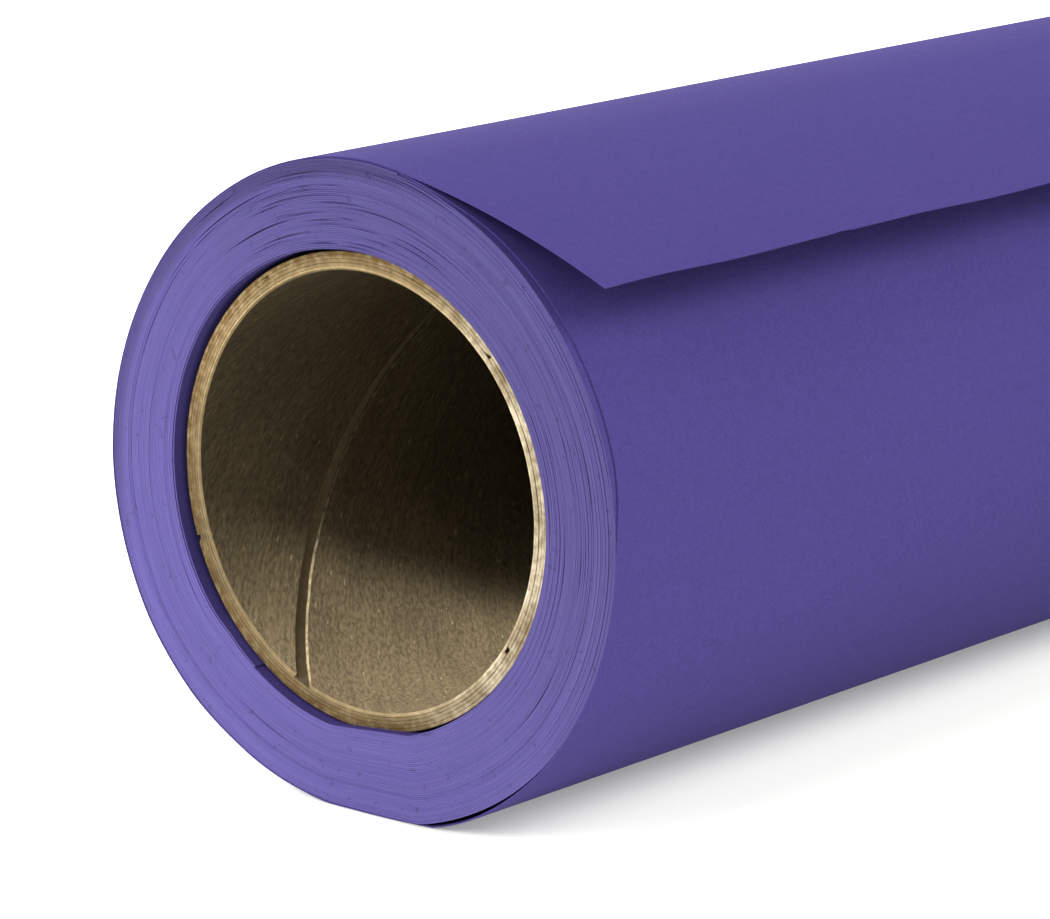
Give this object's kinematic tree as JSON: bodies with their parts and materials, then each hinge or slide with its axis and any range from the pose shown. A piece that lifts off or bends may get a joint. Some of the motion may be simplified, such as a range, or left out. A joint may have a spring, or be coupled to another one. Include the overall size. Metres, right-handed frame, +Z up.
{
  "type": "backdrop paper roll",
  "caption": "Seamless background paper wound on a spiral cardboard core, lying on its flattened side, with the sheet's loose outer end lifting off the roll.",
  "frame": {"origin": "middle of the roll's length, on the surface that it lies on, under the roll's axis", "axes": "+X along the roll's axis from its near end to its far end, +Z up, -Y towards the side that the loose end lifts over"},
  "size_m": [1.35, 0.0861, 0.0848],
  "materials": {
    "seamless_paper": "matte",
    "core_board": "matte",
    "core_liner": "matte",
    "start_tape": "satin"
  },
  "bodies": {
    "roll": {"core_liner_ply": "core_liner", "core_body_ply_1": "core_board", "core_body_ply_2": "core_board", "core_body_ply_3": "core_board", "core_cover_ply": "core_board", "start_tape_near": "start_tape", "start_tape_middle": "start_tape", "start_tape_far": "start_tape", "paper_first_turn": "seamless_paper", "paper_wound_turns": "seamless_paper", "paper_outer_turn": "seamless_paper"},
    "loose_end_1": {"paper_loose_end_1": "seamless_paper"},
    "loose_end_2": {"paper_loose_end_2": "seamless_paper"},
    "loose_end_3": {"paper_loose_end_3": "seamless_paper"},
    "loose_end_4": {"paper_loose_end_4": "seamless_paper"},
    "loose_end_5": {"paper_loose_end_5": "seamless_paper"}
  },
  "joints": [
    {"name": "peel_1", "type": "hinge", "parent": "roll", "child": "loose_end_1", "pos_m": [0, -0.00752, 0.08424], "axis": [-1, 0, 0], "range_deg": [-3.1, 9], "stiffness_Nm_per_rad": 3},
    {"name": "peel_2", "type": "hinge", "parent": "loose_end_1", "child": "loose_end_2", "pos_m": [0, -0.01438, 0.08286], "axis": [-1, 0, 0], "range_deg": [-6.2, 18]},
    {"name": "peel_3", "type": "hinge", "parent": "loose_end_2", "child": "loose_end_3", "pos_m": [0, -0.02117, 0.08116], "axis": [-1, 0, 0], "range_deg": [-6.2, 18]},
    {"name": "peel_4", "type": "hinge", "parent": "loose_end_3", "child": "loose_end_4", "pos_m": [0, -0.02787, 0.07913], "axis": [-1, 0, 0], "range_deg": [-6.2, 18]},
    {"name": "peel_5", "type": "hinge", "parent": "loose_end_4", "child": "loose_end_5", "pos_m": [0, -0.03447, 0.07679], "axis": [-1, 0, 0], "range_deg": [-6.2, 18]}
  ],
  "couplings": [
    {"joint": "peel_2", "follows": "peel_1", "ratio": 2},
    {"joint": "peel_3", "follows": "peel_1", "ratio": 2},
    {"joint": "peel_4", "follows": "peel_1", "ratio": 2},
    {"joint": "peel_5", "follows": "peel_1", "ratio": 2}
  ]
}
